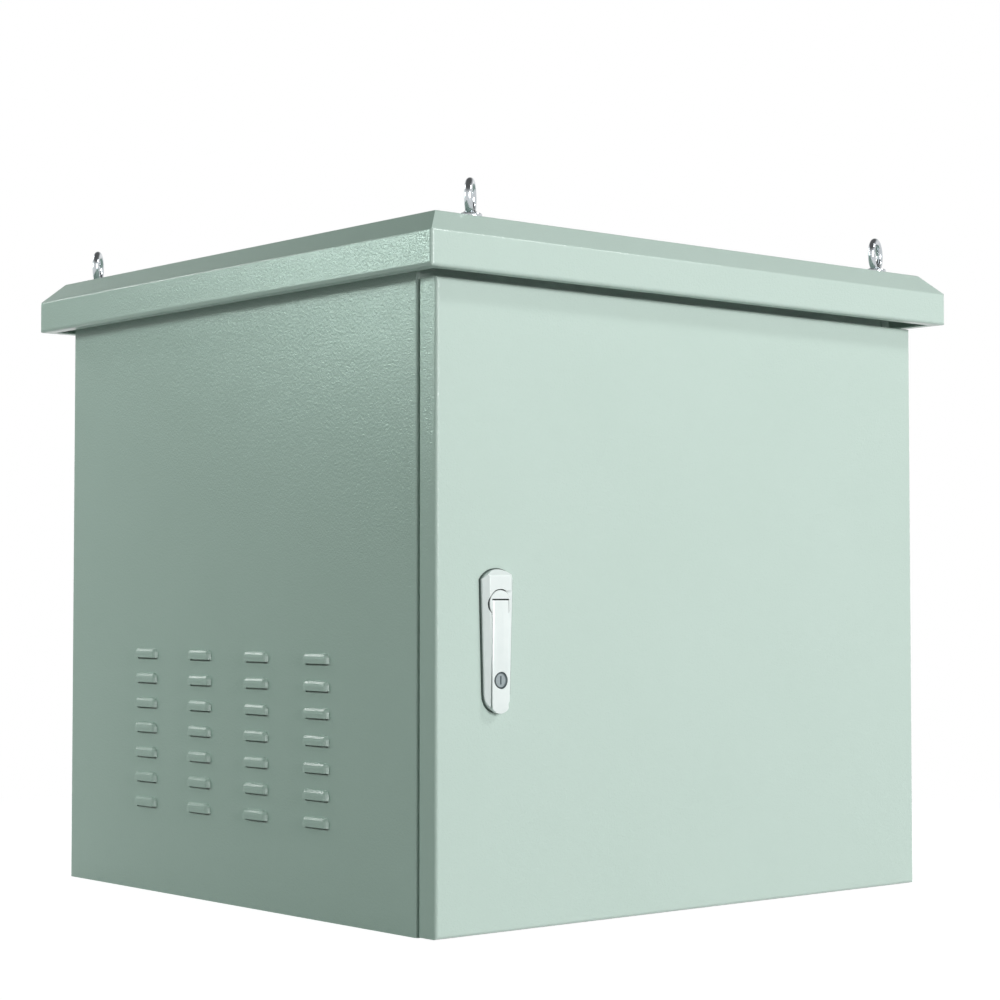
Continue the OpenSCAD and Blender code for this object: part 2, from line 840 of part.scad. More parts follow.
// Outline of the lock housing: sides that taper downward and round ends
module lock_outline(grow) {
    top = housing_rise - housing_end_r;
    low = housing_low_r - housing_drop;
    top_half = housing_w / 2 + grow;
    low_half = housing_low_w / 2 + grow;
    intersection() {
        polygon([
            [top_half, housing_rise + grow],
            [-top_half, housing_rise + grow],
            [-low_half, -housing_drop - grow],
            [low_half, -housing_drop - grow]
        ]);
        union() {
            translate([0, top]) circle(housing_end_r + grow);
            translate([0, low]) circle(housing_low_r + grow);
            translate([-housing_w, low]) square([2 * housing_w, top - low]);
        }
    }
}

module lock_gasket() {
    color(black_rubber) at_lock() difference() {
        along_z(0, lock_gasket_t) lock_outline(lock_rim);
        rod(boss_r + bolt_gap, -overrun, lock_gasket_t + overrun);
        translate([0, -stud_drop, 0]) rod(stud_r + bolt_gap, -overrun, lock_gasket_t + overrun);
    }
}

// Section of the housing between two edges: a low side, a sloped flank and a flat face, rounded into each other
function housing_section(low, high) = rounded(
    [
        [high, lock_gasket_t],
        [high, housing_side],
        [high - housing_slope, housing_top],
        [low + housing_slope, housing_top],
        [low, housing_side],
        [low, lock_gasket_t]
    ],
    housing_edge, housing_edge
);

// All that lies inside the left flank, which leans in towards the bottom
module housing_flank() {
    translate([-housing_w / 2, housing_rise, 0]) rotate([0, 0, housing_taper])
        along_y(-2 * housing_drop, housing_drop) polygon(housing_section(0, 2 * housing_w));
}

// The housing: a low casting with sloped flanks, a threaded boss, a lower stud and a well for the disc
// The lever lies in a channel beside its left wall, and the right side is open so that the lever can turn
module lock_housing() {
    color(white_satin) at_lock() difference() {
        union() {
            intersection() {
                along_z(lock_gasket_t, housing_top) lock_outline(0);
                housing_flank();
                mirror([1, 0, 0]) housing_flank();
                along_x(-housing_w, housing_w) polygon(housing_section(-housing_drop, housing_rise));
            }
            rod(boss_r, -boss_len, disc_seat);
            translate([0, -stud_drop, 0]) rod(stud_r, -stud_len, disc_seat);
        }
        rod(disc_r + disc_gap, disc_seat, housing_top + overrun);
        block([-channel_in, -2 * housing_drop, channel_z], [housing_w, 0, housing_top + overrun]);
        block([0, -2 * housing_drop, channel_z], [housing_w, turn_clear, housing_top + overrun]);
        rod(stem_r + stem_gap, -boss_len - overrun, housing_top);
    }
}

module lock_nut() {
    color(zinc) at_lock() nut(lock_nut_across, boss_r + fit_gap, -sheet - lock_nut_h, -sheet);
}

module lock_stud_nut() {
    color(zinc) at_lock() translate([0, -stud_drop, 0])
        nut(stud_nut_across, stud_r + fit_gap, -sheet - stud_nut_h, -sheet);
}

// The axis of the lever in the disc, along local X
module at_lever_axis() translate([0, pivot_rise, pivot_z]) rotate([0, 90, 0]) children();

// The turning disc with the lever's slot, its stem through the door and a square for the cam
module lock_disc() {
    square_low = cam_low_z + cam_square_short;
    color(white_satin) at_lock() difference() {
        union() {
            rod(disc_r, disc_seat + disc_lift, housing_top - disc_edge);
            translate([0, 0, housing_top - disc_edge])
                cylinder(r1 = disc_r, r2 = disc_r - disc_edge, h = disc_edge);
            rod(stem_r, cam_top_z, disc_seat + disc_lift);
            along_z(square_low, cam_top_z) square(cam_square, center = true);
        }
        block([-slot_half, -2 * disc_r, channel_z], [slot_half, slot_end, housing_top + overrun]);
        at_lever_axis() rod(handle_pin_r + fit_gap, -disc_r, disc_r);
        rod(cam_screw_r + fit_gap, square_low - overrun, cam_low_z + cam_screw_len + fit_gap);
    }
}

module handle_pin() {
    color(zinc) at_lock() at_lever_axis() rod(handle_pin_r, -handle_pin_half, handle_pin_half);
}

// The cam points up while the door is shut but free, and a quarter turn brings it behind the left stile
module latch_cam() {
    tip = cam_len - cam_w / 2;
    color(zinc) at_lock() difference() {
        along_z(cam_low_z, cam_top_z) {
            circle(cam_hub_r);
            translate([-cam_w / 2, 0]) square([cam_w, tip]);
            translate([0, tip]) circle(cam_w / 2);
        }
        along_z(cam_low_z - overrun, cam_top_z + overrun) square(cam_square + 2 * fit_gap, center = true);
    }
}

module cam_screw() {
    color(zinc) at_lock() {
        rod(cam_screw_head_r, cam_low_z - cam_screw_head_h, cam_low_z);
        rod(cam_screw_r, cam_low_z - cam_screw_head_h, cam_low_z + cam_screw_len);
    }
}

// Side section of the lever, from its thin tip to the pivot
function lever_section() = [
    [-lever_drop, lever_low_z],
    [-lever_drop, lever_low_z + lever_tip_t],
    [lever_taper - lever_drop, lever_top_z],
    [pivot_rise, lever_top_z],
    [pivot_rise, lever_low_z]
];

// Cross section of the lever below its crown: the sides lean in towards the bottom
function lever_draft_section() = [
    [lever_draft - lever_half, lever_low_z],
    [-lever_half, lever_low_z + lever_draft],
    [-lever_half, lever_top_z],
    [lever_half, lever_top_z],
    [lever_half, lever_low_z + lever_draft],
    [lever_half - lever_draft, lever_low_z]
];

// The lever: crowned across, thinner at its tip, with a round heel and a knuckle on the pin
module handle_lever() {
    color(white_satin) at_lock() difference() {
        intersection() {
            translate([0, 0, lever_top_z - lever_crown_r]) rotate([90, 0, 0])
                rod(lever_crown_r, -heel_end, lever_drop);
            union() {
                along_x(-lever_half, lever_half) polygon(lever_section());
                at_lever_axis() rod(lever_knuckle_r, -lever_half, lever_half);
                intersection() {
                    at_lever_axis() rod(heel_r, -lever_half, lever_half);
                    block([-lever_half, pivot_rise, pivot_z], [lever_half, heel_end, lever_top_z]);
                }
            }
            along_z(lever_low_z, lever_top_z) {
                translate([0, lever_tip_r - lever_drop]) circle(lever_tip_r);
                translate([-lever_half, lever_tip_r - lever_drop])
                    square([lever_w, lever_drop - lever_tip_r + heel_end]);
            }
            along_y(-lever_drop, heel_end) polygon(lever_draft_section());
        }
        at_lever_axis() rod(handle_pin_r + fit_gap, -lever_w, lever_w);
        translate([0, -key_drop, 0]) rod(key_bore_r, lever_low_z - overrun, lever_top_z + overrun);
    }
}

// The sleeve of the key cylinder, set in the lever, with a bottom under the plug
module lock_cylinder() {
    low = lever_low_z + key_ring_lift;
    color(galvanised) at_lock() translate([0, -key_drop, 0]) difference() {
        rod(key_ring_r, low, low + key_ring_h);
        rod(key_plug_r + fit_gap, low + key_ring_wall / 2, low + key_ring_h + overrun);
    }
}

module key_plug() {
    low = lever_low_z + key_ring_lift + key_ring_wall / 2 + fit_gap;
    top = lever_low_z + key_ring_lift + key_ring_h - key_plug_sink;
    color(zinc) at_lock() translate([0, -key_drop, 0]) difference() {
        rod(key_plug_r, low, top);
        block(
            [-key_slot_w / 2, -key_slot_len / 2, top - key_slot_deep],
            [key_slot_w / 2, key_slot_len / 2, top + overrun]
        );
    }
}

// A filter frame: a shallow tray with a flange on the panel and windows between two bars
module left_filter_frame() {
    rim = filter_half + filter_flange;
    window = (2 * (filter_half - filter_lip) - (filter_windows - 1) * filter_bar) / filter_windows;
    color(galvanised) difference() {
        translate([-inner_w, body_mid, 0]) difference() {
            union() {
                block([0, -rim, filter_low - filter_flange], [sheet, rim, filter_high + filter_flange]);
                block(
                    [0, -filter_wall, filter_low - soft_gap - sheet],
                    [filter_face, filter_wall, filter_high + soft_gap + sheet]
                );
            }
            block(
                [-overrun, -filter_half - soft_gap, filter_low - soft_gap],
                [filter_face - sheet, filter_half + soft_gap, filter_high + soft_gap]
            );
            for (k = [0:filter_windows - 1]) {
                y = filter_lip - filter_half + k * (window + filter_bar);
                block(
                    [0, y, filter_low + filter_lip],
                    [filter_face + overrun, y + window, filter_high - filter_lip]
                );
            }
        }
        at_filter_studs() rod(filter_stud_r + bolt_gap, -overrun, sheet + overrun);
    }
}

module right_filter_frame() mirror([1, 0, 0]) left_filter_frame();

module left_filter_mat() {
    face = soft_gap - inner_w;
    color(filter_white) block(
        [face, body_mid - filter_half, filter_low],
        [face + filter_t, body_mid + filter_half, filter_high]
    );
}

module right_filter_mat() mirror([1, 0, 0]) left_filter_mat();

module filter_nuts() {
    color(zinc) both_sides() at_filter_studs()
        nut(filter_nut_across, filter_stud_r + fit_gap, sheet, sheet + filter_nut_h);
}

// A rack rail: an angle with a row of square holes in its face. The side leg runs inward from the face
module rack_rail(face_y, inward) {
    y0 = min(face_y, face_y + inward * rail_t);
    side_y = min(face_y, face_y + inward * rail_side);
    color(galvanised) difference() {
        union() {
            block([-rail_out, y0, rail_low], [rail_face - rail_out, y0 + rail_t, rail_high]);
            block([-rail_out, side_y, rail_low], [rail_t - rail_out, side_y + rail_side, rail_high]);
        }
        for (u = [0:rack_units - 1], share = rack_hole_shares)
            translate([rack_hole_inset - rail_out, y0 + rail_t / 2, rail_low + rail_end + (u + share) * unit_h])
                cube([rack_hole, 2 * rail_t, rack_hole], center = true);
        at_rail_bolts() rod(rail_bolt_r + bolt_gap, -overrun, rail_t + overrun);
    }
}

front_rail_bolt_y = rail_front_y + rail_side / 2;
rear_rail_bolt_y = rail_rear_y - rail_side / 2;

// Places of the bolts through the left rails, with local Z pointing from the brace to the rail
module at_rail_bolts() {
    for (y = [front_rail_bolt_y, rear_rail_bolt_y], z = [rail_low + brace_leg / 2, rail_high - brace_leg / 2])
        translate([-rail_out, y, z]) rotate([0, 90, 0]) children();
}

module front_left_rail() rack_rail(rail_front_y, 1);

module front_right_rail() mirror([1, 0, 0]) front_left_rail();

module rear_left_rail() rack_rail(rail_rear_y, -1);

module rear_right_rail() mirror([1, 0, 0]) rear_left_rail();

// A brace: a Z section with one leg on the side panel, a web and one leg for the rails
module brace(panel_low, panel_high, web_low, rail_leg_low, rail_leg_high) {
    leg_face = -rail_out - rail_t;
    color(galvanised) difference() {
        union() {
            block([-inner_w, brace_front_y, panel_low], [rail_t - inner_w, brace_rear_y, panel_high]);
            block([-inner_w, brace_front_y, web_low], [-rail_out, brace_rear_y, web_low + rail_t]);
            block([leg_face, brace_front_y, rail_leg_low], [-rail_out, brace_rear_y, rail_leg_high]);
        }
        at_rail_bolts() rod(rail_bolt_r + bolt_gap, -rail_t - overrun, overrun);
    }
}

module lower_left_brace() {
    brace(pan_flange + flange_room, rail_low, rail_low - rail_t, rail_low - rail_t, rail_low + brace_leg);
}

module lower_right_brace() mirror([1, 0, 0]) lower_left_brace();

module upper_left_brace() {
    brace(rail_high, rail_high + brace_leg, rail_high, rail_high - brace_leg, rail_high + rail_t);
}

module upper_right_brace() mirror([1, 0, 0]) upper_left_brace();

module rail_bolts() {
    tail = -rail_t - rail_nut_h - rail_bolt_out;
    color(zinc) both_sides() at_rail_bolts() {
        hex(rail_bolt_across, rail_t, rail_t + rail_bolt_head_h);
        rod(rail_bolt_r, tail, rail_t + rail_bolt_head_h);
    }
}

module rail_nuts() {
    color(zinc) both_sides() at_rail_bolts()
        nut(rail_bolt_across, rail_bolt_r + fit_gap, -rail_t - rail_nut_h, -rail_t);
}

module at_grommets() {
    pitch = (gland_w - 2 * gland_lap) / grommet_count;
    for (k = [0:grommet_count - 1])
        translate([(k - (grommet_count - 1) / 2) * pitch, gland_y, sheet]) children();
}

module gland_plate() {
    color(galvanised) difference() {
        block(
            [-gland_w / 2, gland_y - gland_d / 2, sheet],
            [gland_w / 2, gland_y + gland_d / 2, sheet + gland_t]
        );
        at_grommets() rod(grommet_r, -overrun, gland_t + overrun);
        at_gland_screws() rod(gland_screw_r + fit_gap, sheet - overrun, sheet + gland_t + overrun);
    }
}

// A blind grommet: a flange on each side of the plate and a low dome to be cut for a cable
module cable_grommets() {
    neck = grommet_r - soft_gap;
    flange = grommet_r + grommet_lap;
    shoulder = gland_t + grommet_top_t;
    color(black_rubber) at_grommets() rotate_extrude() polygon([
        [0, -grommet_flange_t],
        [flange, -grommet_flange_t],
        [flange, 0],
        [neck, 0],
        [neck, gland_t],
        [flange, gland_t],
        [flange, shoulder],
        [neck, shoulder],
        [neck * grommet_dome_share, shoulder + grommet_dome_h],
        [0, shoulder + grommet_dome_h]
    ]);
}

module gland_plate_screws() {
    top = sheet + gland_t;
    color(zinc) at_gland_screws() {
        rod(gland_screw_r, gland_screw_lift, top);
        rod(gland_screw_head_r, top, top + gland_screw_head_h);
    }
}

module at_earth() translate([half_w * earth_share, body_front + earth_set, sheet]) children();

module earth_stud() {
    color(zinc) at_earth() {
        rod(earth_pad_r, 0, earth_pad_t);
        rod(earth_r, 0, earth_len);
    }
}

module earth_nut() {
    color(zinc) at_earth() nut(earth_nut_across, earth_r + fit_gap, earth_pad_t, earth_pad_t + earth_nut_h);
}

left_side_panel();
right_side_panel();
back_panel();
base_pan();
top_plate();
frame_left_stile();
frame_right_stile();
frame_top_rail();
frame_bottom_rail();
roof_canopy();
front_lifting_bar();
rear_lifting_bar();
lifting_bar_bolts();
front_left_lifting_eye();
front_right_lifting_eye();
rear_left_lifting_eye();
rear_right_lifting_eye();
lifting_eye_nuts();
upper_hinge_frame_leaf();
lower_hinge_frame_leaf();
left_filter_frame();
right_filter_frame();
left_filter_mat();
right_filter_mat();
filter_nuts();
front_left_rail();
front_right_rail();
rear_left_rail();
rear_right_rail();
lower_left_brace();
lower_right_brace();
upper_left_brace();
upper_right_brace();
rail_bolts();
rail_nuts();
gland_plate();
cable_grommets();
gland_plate_screws();
earth_stud();
earth_nut();
door_panel();
door_gasket();
upper_hinge_door_leaf();
lower_hinge_door_leaf();
upper_hinge_pin();
lower_hinge_pin();
lock_housing();
lock_gasket();
lock_nut();
lock_stud_nut();
lock_disc();
handle_pin();
latch_cam();
cam_screw();
handle_lever();
lock_cylinder();
key_plug();
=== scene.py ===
# %% [markdown]
# # A roadside utility cabinet
# The solids of the cabinet arrive finished: folded sheets, roof, door, lock and everything inside. This
# lesson gives them their finishes, models the few pieces that a plain solid shows badly, and sets up a
# small studio. First the solids are loaded.

# %% Load the solids
import json
import math

import bmesh
import bpy
from mathutils import Matrix, Vector


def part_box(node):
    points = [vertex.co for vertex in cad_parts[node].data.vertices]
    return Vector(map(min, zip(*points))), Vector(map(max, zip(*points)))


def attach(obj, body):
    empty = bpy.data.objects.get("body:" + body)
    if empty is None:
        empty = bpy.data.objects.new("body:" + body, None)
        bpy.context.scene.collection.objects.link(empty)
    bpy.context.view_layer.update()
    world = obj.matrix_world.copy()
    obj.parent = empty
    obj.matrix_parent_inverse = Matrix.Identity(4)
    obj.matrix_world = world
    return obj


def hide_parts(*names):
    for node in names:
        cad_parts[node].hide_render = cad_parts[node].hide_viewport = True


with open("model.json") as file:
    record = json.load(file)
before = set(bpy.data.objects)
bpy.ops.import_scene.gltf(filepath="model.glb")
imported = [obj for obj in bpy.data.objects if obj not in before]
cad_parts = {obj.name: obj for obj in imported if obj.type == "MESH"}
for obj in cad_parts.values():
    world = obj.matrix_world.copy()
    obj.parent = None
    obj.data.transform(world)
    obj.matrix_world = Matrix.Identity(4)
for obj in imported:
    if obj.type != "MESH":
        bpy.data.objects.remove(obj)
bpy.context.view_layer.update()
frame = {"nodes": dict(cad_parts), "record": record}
MM = 0.001

# %% [markdown]
# ## The camera
# The photograph was taken from low on the left, with a long lens, so upright edges stay upright. A camera
# could be set by eye, but then every comparison would be some pixels off. So its place, its turn and its
# lens were worked out from the cabinet's straight edges. A camera looks along its own -Z axis, so the view
# direction is made into a rotation with to_track_quat.

# %% Camera
CAMERA_PLACE = Vector((-1.4965, -1.7898, 0.2802))
CAMERA_TURN = math.radians(40.245)
CAMERA_TILT = math.radians(2.399)
FOCAL_PIXELS = 2331.85
PHOTO_PIXELS = 1000
SENSOR_MM = 36.0

view = Vector((
    math.sin(CAMERA_TURN) * math.cos(CAMERA_TILT),
    math.cos(CAMERA_TURN) * math.cos(CAMERA_TILT),
    math.sin(CAMERA_TILT),
))
lens = bpy.data.cameras.new("photo_lens")
lens.sensor_width = SENSOR_MM
lens.sensor_fit = "HORIZONTAL"
lens.lens = SENSOR_MM * FOCAL_PIXELS / PHOTO_PIXELS
camera = bpy.data.objects.new("photo_camera", lens)
camera.location = CAMERA_PLACE
camera.rotation_euler = view.to_track_quat("-Z", "Y").to_euler()
bpy.context.scene.collection.objects.link(camera)
bpy.context.scene.camera = camera
bpy.context.scene.view_settings.view_transform = "Standard"
print("lens:", round(lens.lens, 2), "mm")

# %% [markdown]
# ## Writing shaders as sums
# A material is a graph of nodes. Making each node by hand is slow to read, so two small classes help. A
# Wire is one output socket that can be added, multiplied and subtracted like a number. A Graph makes any
# node from its type, its settings and the values or wires of its sockets.


# %% Wires and graphs
class Wire:
    """One output socket that takes part in plain sums."""

    def __init__(self, graph, socket):
        self.graph = graph
        self.socket = socket

    def math(self, operation, first, second):
        return self.graph.node("ShaderNodeMath", {"operation": operation}, {0: first, 1: second})

    def __add__(self, other):
        return self.math("ADD", self, other)

    __radd__ = __add__

    def __sub__(self, other):
        return self.math("SUBTRACT", self, other)

    def __rsub__(self, other):
        return self.math("SUBTRACT", other, self)

    def __mul__(self, other):
        return self.math("MULTIPLY", self, other)

    __rmul__ = __mul__

    def larger(self, other):
        return self.math("MAXIMUM", self, other)


class Graph:
    """A node tree that is filled one node at a time."""

    def __init__(self, tree):
        self.tree = tree
        tree.nodes.clear()

    def node(self, kind, settings=None, links=None, out=0):
        made = self.tree.nodes.new(kind)
        for name, value in (settings or {}).items():
            setattr(made, name, value)
        for name, value in (links or {}).items():
            if isinstance(value, Wire):
                self.tree.links.new(value.socket, made.inputs[name])
            else:
                made.inputs[name].default_value = value
        return Wire(self, made.outputs[out]) if made.outputs else made

    def mix(self, factor, first, second):
        """A colour between two colours."""
        links = {"Factor": factor, 6: first, 7: second}
        return self.node("ShaderNodeMix", {"data_type": "RGBA"}, links, out=2)

    def ramp(self, value, low, high):
        """A value stretched so that low becomes 0 and high becomes 1, with soft ends."""
        return self.node(
            "ShaderNodeMapRange",
            {"interpolation_type": "SMOOTHSTEP"},
            {"Value": value, "From Min": low, "From Max": high},
        )


print("wires and graphs ready")

# %% [markdown]
# ## One class for all finishes
# Every finish here is a Principled shader whose colour, gloss and small bumps vary over the surface. The
# patterns could be painted on unwrapped sheets, but Object coordinates need no unwrapping and count in
# metres, so a pattern can be given its real size in millimetres. Colours picked from a screen are curved
# for the eye, and a shader wants them straight, which is what linear does.


# %% Finishes in general
class Finish(Graph):
    """A material on Object coordinates, in metres, with one Principled shader."""

    def __init__(self, name):
        self.material = bpy.data.materials.new(name)
        self.material.use_nodes = True
        super().__init__(self.material.node_tree)
        self.place = self.node("ShaderNodeTexCoord", out="Object")

    def noise(self, size_mm, detail=2.0, roughness=0.5):
        """Soft random spots of about the given size."""
        scale = 1 / (size_mm * MM)
        links = {"Vector": self.place, "Scale": scale, "Detail": detail, "Roughness": roughness}
        return self.node("ShaderNodeTexNoise", links=links)

    def cells(self, size_mm, out="Distance"):
        """Random cells of about the given size."""
        links = {"Vector": self.place, "Scale": 1 / (size_mm * MM)}
        return self.node("ShaderNodeTexVoronoi", links=links, out=out)

    def along(self, axis):
        """One of the coordinates X, Y and Z."""
        return self.node("ShaderNodeSeparateXYZ", links={0: self.place}, out=axis)

    def from_axis(self, x, z):
        """The distance from a line along Y through the given place."""
        flat = self.vector("MULTIPLY", {0: self.place, 1: (1.0, 0.0, 1.0)}, "Vector")
        return self.vector("DISTANCE", {0: flat, 1: (x, 0.0, z)}, "Value")

    def vector(self, operation, links, out):
        return self.node("ShaderNodeVectorMath", {"operation": operation}, links, out)

    def bump(self, height, depth_mm):
        """A normal that leans as if the surface rose by the height."""
        return self.node("ShaderNodeBump", links={"Height": height, "Distance": depth_mm * MM})

    def surface(self, **sockets):
        """Ends the graph: socket names are written with underscores for spaces."""
        links = {name.replace("_", " "): value for name, value in sockets.items()}
        shader = self.node("ShaderNodeBsdfPrincipled", links=links)
        self.node("ShaderNodeOutputMaterial", links={"Surface": shader})
        return self.material


def linear(red, green, blue):
    """A colour picked from a screen, as the linear colour that a shader works with."""
    def channel(value):
        share = value / 255
        return share / 12.92 if share <= 0.04045 else ((share + 0.055) / 1.055) ** 2.4
    return (channel(red), channel(green), channel(blue), 1.0)


def grey(level):
    return (level, level, level, 1.0)


finishes = {}


def keep(maker):
    """Makes a finish and keeps it under its own name."""
    finishes[maker.__name__] = maker()
    print("finish:", maker.__name__)


print("finish helpers ready")

# %% [markdown]
# ## Lamps
# The photograph has a bright front and a much darker left side, so one large soft light stands in front. A
# second one stands behind on the left, where the left side mirrors it: it gives that side its sheen near
# the top. Two small high ones draw bright lines: the one on the right along the folds of the roof, and the
# one at the back along the shoulders of the louvres. The last one lights the right side and the back, which
# the photograph does not show. It is kept out of reflections, because a glossy roof would mirror it as a
# white patch.


# %% Lamps
def soft_box(name, place, aim, width, height, watts, colour=(1.0, 1.0, 1.0), mirrored=True):
    """A rectangular studio light that faces a point."""
    lamp = bpy.data.lights.new(name, "AREA")
    lamp.color = colour
    lamp.shape = "RECTANGLE"
    lamp.size = width
    lamp.size_y = height
    lamp.energy = watts
    box = bpy.data.objects.new(name, lamp)
    box.visible_glossy = mirrored
    box.location = place
    box.rotation_euler = (Vector(aim) - Vector(place)).to_track_quat("-Z", "Y").to_euler()
    bpy.context.scene.collection.objects.link(box)
    print("lamp:", name, watts, "W")


MIDDLE = (0.0, 0.0, 0.3)
LEFT_TOP = (-0.3, 0.0, 0.5)
LEFT_LOUVRES = (-0.3, 0.0, 0.3)
ROOF_FRONT = (0.0, -0.2, 0.5)
PALE_GREEN = (0.78, 1.0, 0.90)

soft_box("front_light", place=(-0.2, -5.2, 1.25), aim=MIDDLE, width=2.4, height=2.0, watts=180.0)
soft_box(
    "left_back_light", place=(-2.2, 2.05, 1.14), aim=LEFT_TOP, width=0.65, height=0.45, watts=19.0,
    colour=PALE_GREEN,
)
soft_box("right_high_light", place=(2.5, -2.9, 3.3), aim=ROOF_FRONT, width=0.9, height=0.6, watts=53.0)
soft_box("back_high_light", place=(-1.0, 2.6, 2.0), aim=LEFT_LOUVRES, width=0.8, height=0.5, watts=11.0)
soft_box(
    "right_back_light", place=(3.2, 3.2, 1.9), aim=MIDDLE, width=2.0, height=1.4, watts=170.0, mirrored=False
)

# %% [markdown]
# ## The room around
# White walls fill the shadows of a studio and show in bright metal. A picture of a room could be wrapped
# round the scene, but three plain backgrounds are enough, and the kind of ray picks one. The camera sees
# white. Mirrors see a white room with a dark ceiling, which gives metal its contrast. All other rays meet a
# dim fill, a little green, as the shade in the photograph is.

# %% World
FILL_LEVEL = 0.125
FILL_COLOUR = (0.60, 1.0, 0.79, 1.0)
WHITE = grey(1.0)
CEILING_LEVEL = 0.15
CEILING_FROM = 0.25
CEILING_TO = 0.75

world = bpy.data.worlds.new("studio")
world.use_nodes = True
bpy.context.scene.world = world
sky = Graph(world.node_tree)
direction = sky.node("ShaderNodeTexCoord", out="Object")
upward = sky.node("ShaderNodeSeparateXYZ", links={0: direction}, out="Z")
fill = sky.node("ShaderNodeBackground", links={"Color": FILL_COLOUR, "Strength": FILL_LEVEL})
white = sky.node("ShaderNodeBackground", links={"Color": WHITE, "Strength": 1.0})
ceiling = sky.node("ShaderNodeBackground", links={"Color": WHITE, "Strength": CEILING_LEVEL})
height = sky.ramp(upward, CEILING_FROM, CEILING_TO)
room = sky.node("ShaderNodeMixShader", links={0: height, 1: white, 2: ceiling})
mirrored = sky.node("ShaderNodeLightPath", out="Is Glossy Ray").larger(
    sky.node("ShaderNodeLightPath", out="Is Transmission Ray")
)
lit = sky.node("ShaderNodeMixShader", links={0: mirrored, 1: fill, 2: room})
seen = sky.node("ShaderNodeLightPath", out="Is Camera Ray")
blend = sky.node("ShaderNodeMixShader", links={0: seen, 1: lit, 2: white})
sky.node("ShaderNodeOutputWorld", links={"Surface": blend})
print("world fill level:", FILL_LEVEL)

# %% [markdown]
# ## The floor
# A matt white floor comes out grey wherever the lamps are weak. So most of this pale floor glows by itself,
# and a smaller share is matt and takes a faint shadow close to the cabinet. Further out it fades to the
# white of the background, so no horizon shows: the fade runs on the distance from the middle. A floor that
# bright would light the cabinet from below, so rays that bounce off the cabinet meet a grey floor instead.

# %% Floor
FLOOR_SIZE = 12.0
FLOOR_GLOW = 0.92
FLOOR_SHARE = 0.30
FLOOR_PALE = 0.8
FLOOR_BOUNCE = 0.45
FADE_FROM = 0.50
FADE_TO = 1.15

bm = bmesh.new()
bmesh.ops.create_grid(bm, x_segments=1, y_segments=1, size=FLOOR_SIZE)
mesh = bpy.data.meshes.new("floor")
bm.to_mesh(mesh)
bm.free()
floor = bpy.data.objects.new("floor", mesh)
bpy.context.scene.collection.objects.link(floor)
pale = Finish("pale_floor")
seen = pale.node("ShaderNodeLightPath", out="Is Camera Ray")
for ray in ("Is Glossy Ray", "Is Transmission Ray"):
    seen = seen.larger(pale.node("ShaderNodeLightPath", out=ray))
fade = pale.ramp(pale.vector("LENGTH", {0: pale.place}, "Value"), FADE_FROM, FADE_TO)
pale_matt = pale.node("ShaderNodeBsdfDiffuse", links={"Color": grey(FLOOR_PALE)})
grey_matt = pale.node("ShaderNodeBsdfDiffuse", links={"Color": grey(FLOOR_BOUNCE)})
dim = pale.node("ShaderNodeEmission", links={"Color": WHITE, "Strength": FLOOR_GLOW / (1 - FLOOR_SHARE)})
glow = pale.node("ShaderNodeEmission", links={"Color": WHITE, "Strength": 1.0})
near = pale.node("ShaderNodeMixShader", links={0: FLOOR_SHARE, 1: dim, 2: pale_matt})
shown = pale.node("ShaderNodeMixShader", links={0: fade, 1: near, 2: glow})
whole = pale.node("ShaderNodeMixShader", links={0: seen, 1: grey_matt, 2: shown})
pale.node("ShaderNodeOutputMaterial", links={"Surface": whole})
mesh.materials.append(pale.material)
print("floor fades to white between", FADE_FROM, "and", FADE_TO, "m")

# %% [markdown]
# ## The powder coat
# Sprayed powder melts into a satin skin with a fine orange peel: soft dimples a millimetre or two across.
# They hardly show on the front, but they glitter where the side mirrors a light at a low angle. Dimples
# could be real geometry, but that takes millions of faces, so two noises make the height of a bump, and a
# slow third one shifts the colour and gloss a little. The flat top of the roof faces sun, rain and dust, so
# it is duller than the rest: there the height above the floor raises the roughness.


# %% Powder coat
ROOF_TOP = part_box("roof_canopy")[1].z
DULL_FROM = ROOF_TOP - 0.6 * MM
DULL_TO = ROOF_TOP - 0.2 * MM
COAT_GLOSS = 0.15
ROOF_DULLNESS = 0.5


def powder_coat():
    coat = Finish("powder_coat")
    peel = coat.noise(size_mm=2.2, detail=1.0)
    grit = coat.noise(size_mm=1.3, detail=1.0)
    cloud = coat.noise(size_mm=140.0)
    dull = coat.ramp(coat.along("Z"), DULL_FROM, DULL_TO)
    return coat.surface(
        Base_Color=coat.mix(cloud, linear(195, 212, 204), linear(199, 215, 208)),
        Roughness=cloud * 0.05 + grit * 0.08 + COAT_GLOSS + dull * ROOF_DULLNESS,
        Normal=coat.bump(peel * 0.5 + grit * 0.5, depth_mm=0.34),
        Specular_IOR_Level=0.40,
    )


keep(powder_coat)

# %% [markdown]
# ## Zinc plating
# The lifting eyes are plated bright, with soft clouds and fine scratches. The bolts, nuts, hinges and lifting
# bars are plated too, but duller. Metal takes its colour from what it mirrors, so a coloured pattern would
# look painted: most of the work is in the roughness.


# %% Zinc plating
def bright_zinc():
    zinc = Finish("bright_zinc")
    cloud = zinc.noise(size_mm=5.0, detail=3.0)
    scratch = zinc.noise(size_mm=0.7)
    return zinc.surface(
        Base_Color=zinc.mix(cloud, linear(176, 182, 186), linear(214, 219, 222)),
        Metallic=1.0,
        Roughness=cloud * 0.16 + 0.10,
        Normal=zinc.bump(scratch * 0.3 + cloud * 0.7, depth_mm=0.06),
    )


def zinc_fasteners():
    zinc = Finish("zinc_fasteners")
    cloud = zinc.noise(size_mm=3.0, detail=3.0)
    return zinc.surface(
        Base_Color=zinc.mix(cloud, linear(168, 172, 178), linear(205, 207, 206)),
        Metallic=1.0,
        Roughness=cloud * 0.2 + 0.22,
        Normal=zinc.bump(cloud, depth_mm=0.02),
    )


